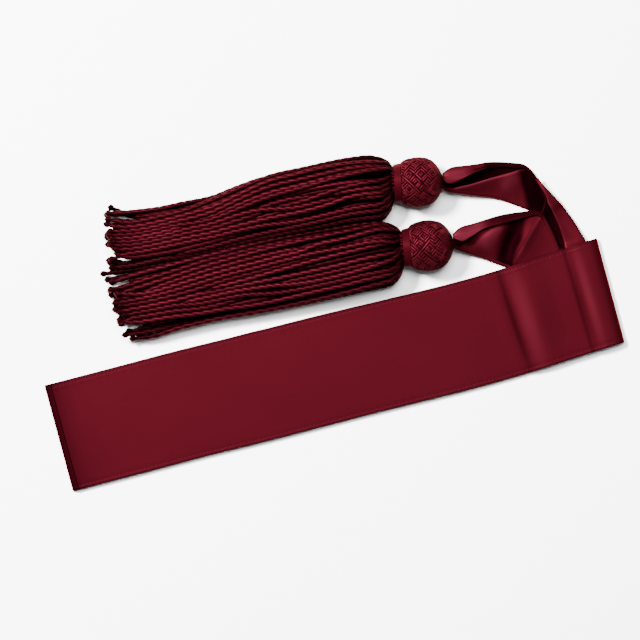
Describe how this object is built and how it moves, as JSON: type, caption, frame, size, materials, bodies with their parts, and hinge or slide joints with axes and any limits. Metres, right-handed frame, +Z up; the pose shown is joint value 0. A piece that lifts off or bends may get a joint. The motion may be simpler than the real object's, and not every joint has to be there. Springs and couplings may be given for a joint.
{
  "type": "waist sash",
  "caption": "Satin waist sash folded flat, its tails gathered into knitted heads with twisted cord tassels.",
  "frame": {"origin": "centre of the footprint, on the surface that the sash lies on", "axes": "+X along the longest extent, from the tassels' tips towards the folded tails, +Y across, from the band towards the tassels, +Z up"},
  "size_m": [0.3827, 0.2206, 0.0321],
  "materials": {
    "satin": "crimson satin, soft sheen",
    "satin_layers": "crimson satin, folded edges",
    "knit": "crimson netted thread",
    "binding": "crimson wound floss",
    "cord": "crimson twisted rayon cord"
  },
  "bodies": {
    "root": {"band_top": "satin", "band_under": "satin_layers", "tail_upper_leg": "satin", "tail_upper_strip": "satin", "tail_lower": "satin", "head_upper": "knit", "head_lower": "knit", "binding_upper": "binding", "binding_lower": "binding", "skirt_upper": "cord", "skirt_lower": "cord"}
  },
  "joints": []
}
